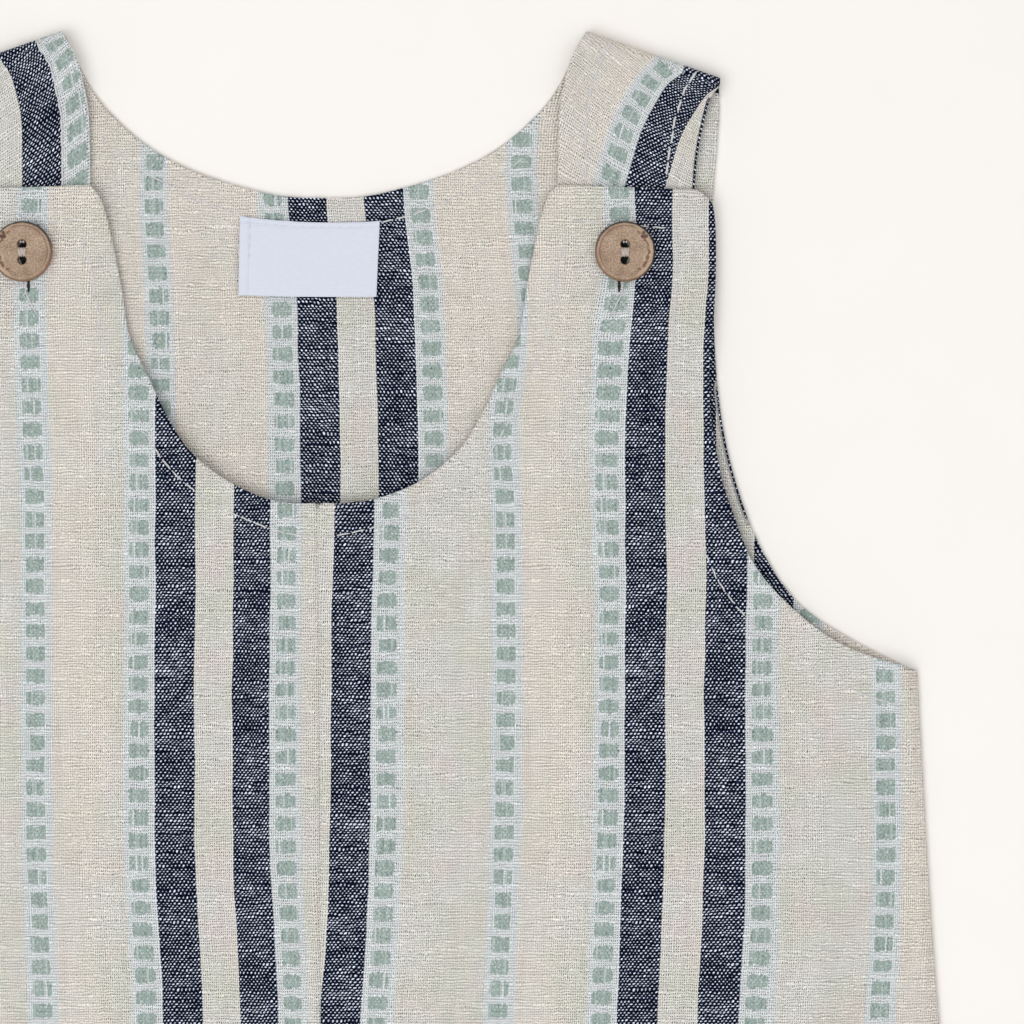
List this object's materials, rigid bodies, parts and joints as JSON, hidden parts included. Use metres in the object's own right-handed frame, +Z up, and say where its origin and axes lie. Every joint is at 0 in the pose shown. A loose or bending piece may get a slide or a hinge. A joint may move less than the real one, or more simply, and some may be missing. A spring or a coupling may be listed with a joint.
{
  "type": "sleeveless linen short romper",
  "caption": "Baby's sleeveless short romper in striped linen, laid flat front up: scoop neck, centre-front seam, wide back straps folded forward and buttoned under the front straps.",
  "frame": {"origin": "on the surface that the garment lies on, under the middle of its bounding box", "axes": "+Y up the garment from the leg hems to the shoulders, +X to the viewer's right with the front up, which is the wearer's left, and +Z up off the surface"},
  "size_m": [0.292, 0.42, 0.0065],
  "materials": {
    "back_linen": "matte",
    "front_left_linen": "matte",
    "front_right_linen": "matte",
    "label_weave": "satin",
    "button_left_shell": "satin",
    "button_right_shell": "satin"
  },
  "bodies": {
    "root": {"back": "back_linen", "front_left": "front_left_linen", "front_right": "front_right_linen", "label": "label_weave", "button_left": "button_left_shell", "button_right": "button_right_shell"}
  },
  "joints": []
}
